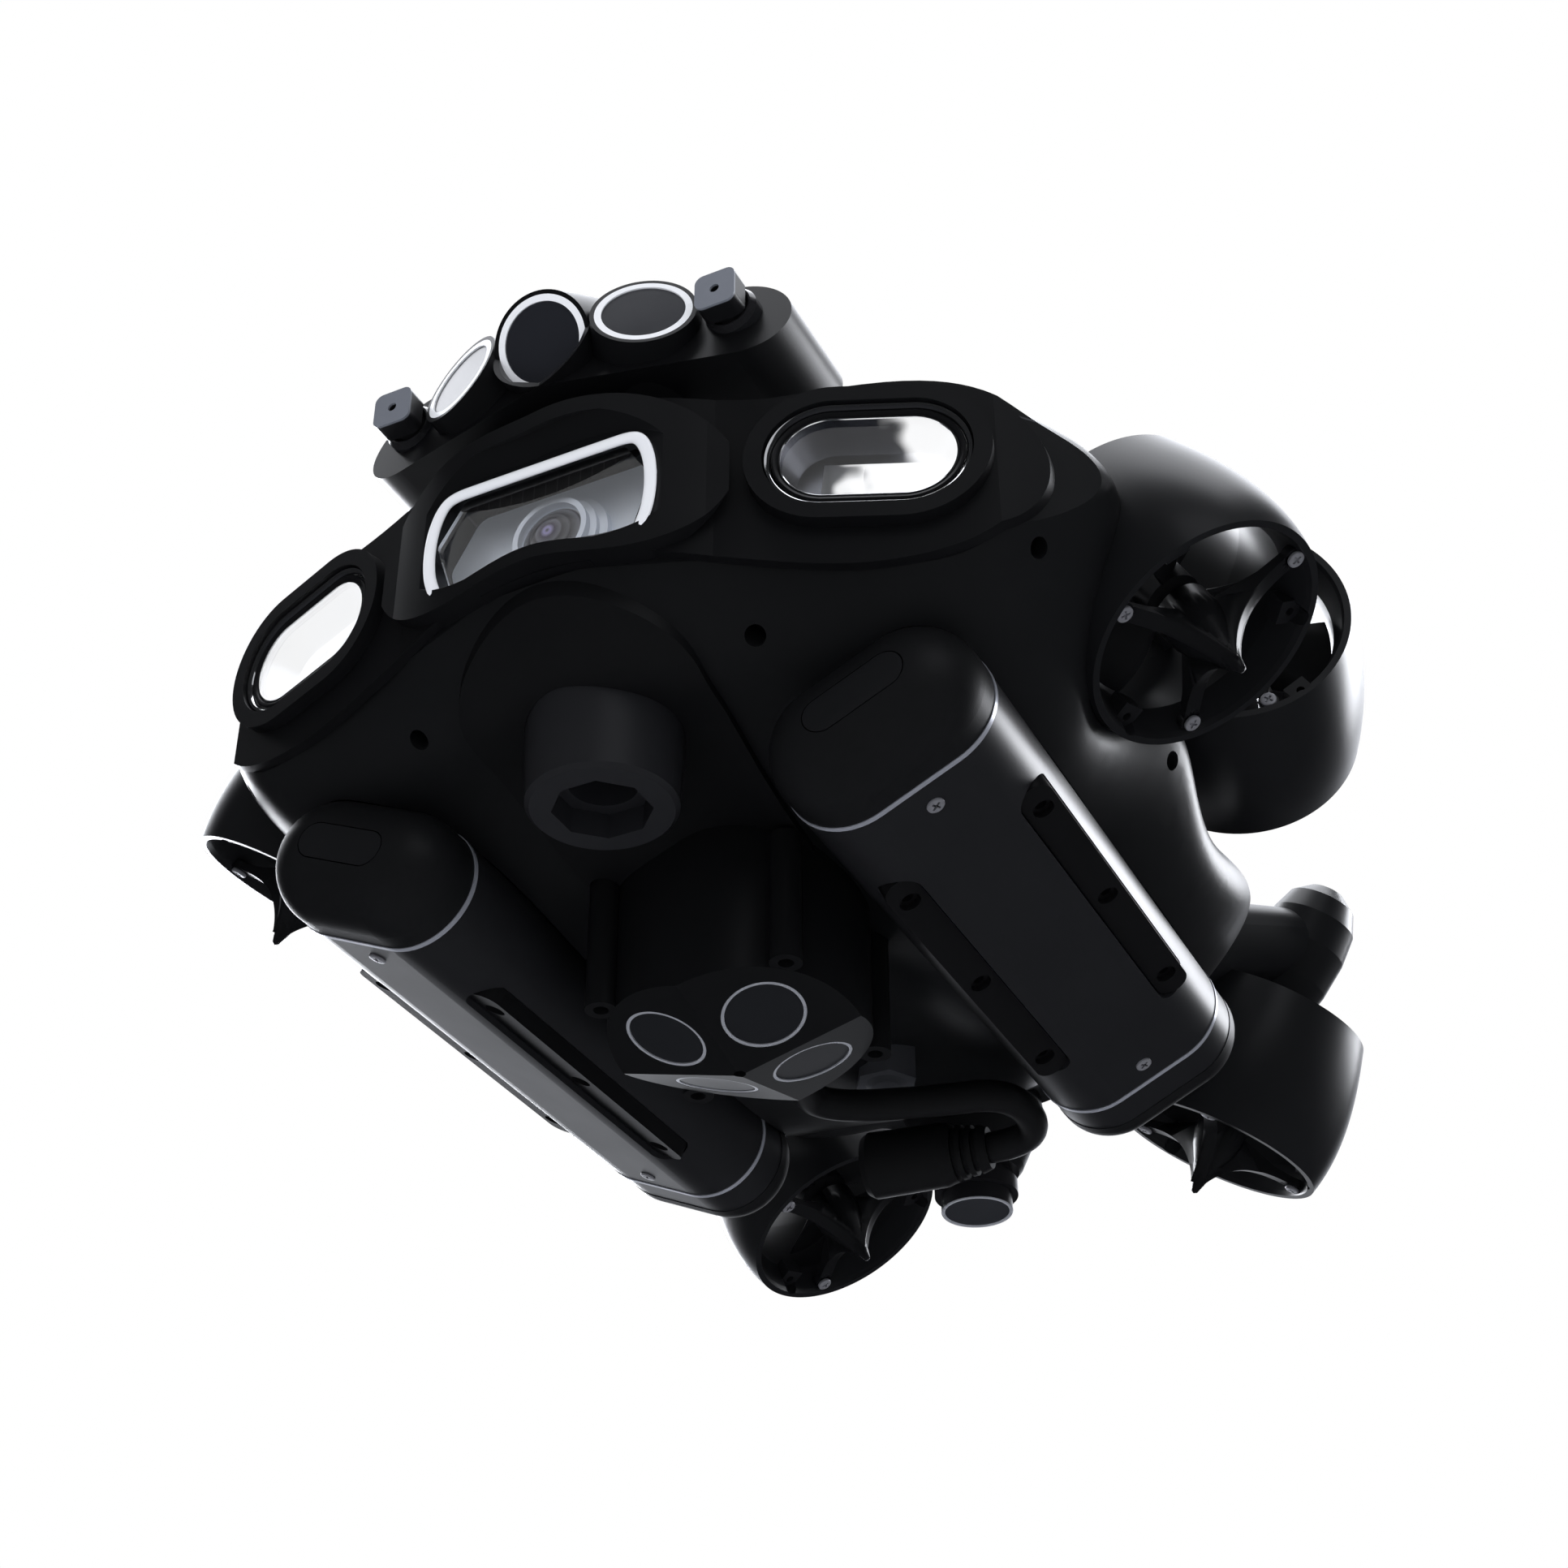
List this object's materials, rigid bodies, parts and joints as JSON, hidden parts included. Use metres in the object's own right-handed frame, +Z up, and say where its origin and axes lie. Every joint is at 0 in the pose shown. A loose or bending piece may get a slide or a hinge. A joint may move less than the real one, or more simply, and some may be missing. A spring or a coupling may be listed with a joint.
{
  "type": "underwater inspection rov",
  "caption": "Compact underwater inspection ROV with ducted thrusters, twin battery tubes, lights, a camera, sonar bar, laser pointers, velocity log and tail altimeter",
  "frame": {"origin": "centre of the payload boss's lower face, on the middle plane", "axes": "+Y from the camera end to the tail, +Z up, +X to starboard"},
  "size_m": [0.33, 0.3533, 0.1801],
  "materials": {
    "hull": "satin",
    "fascia": "satin",
    "rubber": "matte",
    "battery": "anodised",
    "steel": "brushed",
    "chrome": "polished",
    "glass": "clear",
    "board": "matte",
    "sonar": "satin",
    "ceramic": "matte",
    "aluminium": "satin",
    "duct": "semi-gloss",
    "guard": "satin"
  },
  "bodies": {
    "rov": {"altimeter": "sonar", "altimeter_face": "ceramic", "battery_collars": "battery", "battery_front_caps": "rubber", "battery_rails": "sonar", "battery_rear_caps": "battery", "battery_rings": "steel", "battery_tubes": "battery", "battery_windows": "ceramic", "belly_panel": "hull", "cable_plug": "rubber", "camera_frame": "steel", "camera_lens": "glass", "camera_module": "sonar", "camera_window": "glass", "circuit_board": "board", "dvl_body": "sonar", "dvl_cable": "rubber", "dvl_discs": "ceramic", "dvl_rings": "steel", "electronics_housing": "aluminium", "front_fascia": "fascia", "front_port_duct": "duct", "front_port_guard": "guard", "front_starboard_duct": "duct", "front_starboard_guard": "guard", "guard_screws": "steel", "laser_sockets": "sonar", "light_boards": "board", "light_glasses": "glass", "light_reflectors": "chrome", "light_rims": "chrome", "lower_shell": "hull", "payload_boss": "hull", "rear_arms": "hull", "rear_port_duct": "duct", "rear_port_guard": "guard", "rear_starboard_duct": "duct", "rear_starboard_guard": "guard", "side_arms": "hull", "side_port_duct": "duct", "side_port_guard": "guard", "side_starboard_duct": "duct", "side_starboard_guard": "guard", "sonar_discs": "ceramic", "sonar_foot": "hull", "sonar_housing": "sonar", "sonar_rings": "steel", "tail_housing": "hull", "thruster_motors": "aluminium", "upper_shell": "hull", "vent_nut": "hull"},
    "front_starboard_propeller_body": {"front_starboard_propeller": "guard"},
    "front_port_propeller_body": {"front_port_propeller": "guard"},
    "side_starboard_propeller_body": {"side_starboard_propeller": "guard"},
    "side_port_propeller_body": {"side_port_propeller": "guard"},
    "rear_starboard_propeller_body": {"rear_starboard_propeller": "guard"},
    "rear_port_propeller_body": {"rear_port_propeller": "guard"},
    "starboard_laser_body": {"starboard_laser": "sonar"},
    "port_laser_body": {"port_laser": "sonar"}
  },
  "joints": [
    {"name": "front_starboard_spin", "type": "hinge", "parent": "rov", "child": "front_starboard_propeller_body", "pos_m": [0.1362, 0.0605, 0.0474], "axis": [0.5, 0, -0.866], "continuous": true},
    {"name": "front_port_spin", "type": "hinge", "parent": "rov", "child": "front_port_propeller_body", "pos_m": [-0.1362, 0.0605, 0.0474], "axis": [-0.5, 0, -0.866], "continuous": true},
    {"name": "side_starboard_spin", "type": "hinge", "parent": "rov", "child": "side_starboard_propeller_body", "pos_m": [0.1268, 0.1247, 0.1005], "axis": [0.2588, -0.9659, 0], "continuous": true},
    {"name": "side_port_spin", "type": "hinge", "parent": "rov", "child": "side_port_propeller_body", "pos_m": [-0.1268, 0.1247, 0.1005], "axis": [-0.2588, -0.9659, 0], "continuous": true},
    {"name": "rear_starboard_spin", "type": "hinge", "parent": "rov", "child": "rear_starboard_propeller_body", "pos_m": [0.0639, 0.2721, 0.0163], "axis": [-0.5, 0, -0.866], "continuous": true},
    {"name": "rear_port_spin", "type": "hinge", "parent": "rov", "child": "rear_port_propeller_body", "pos_m": [-0.0639, 0.2721, 0.0163], "axis": [0.5, 0, -0.866], "continuous": true},
    {"name": "starboard_laser_tilt", "type": "hinge", "parent": "rov", "child": "starboard_laser_body", "pos_m": [0.0479, -0.027, 0.1204], "axis": [1, 0, 0], "range_deg": [-12, 12]},
    {"name": "port_laser_tilt", "type": "hinge", "parent": "rov", "child": "port_laser_body", "pos_m": [-0.0479, -0.027, 0.1204], "axis": [1, 0, 0], "range_deg": [-12, 12]}
  ]
}
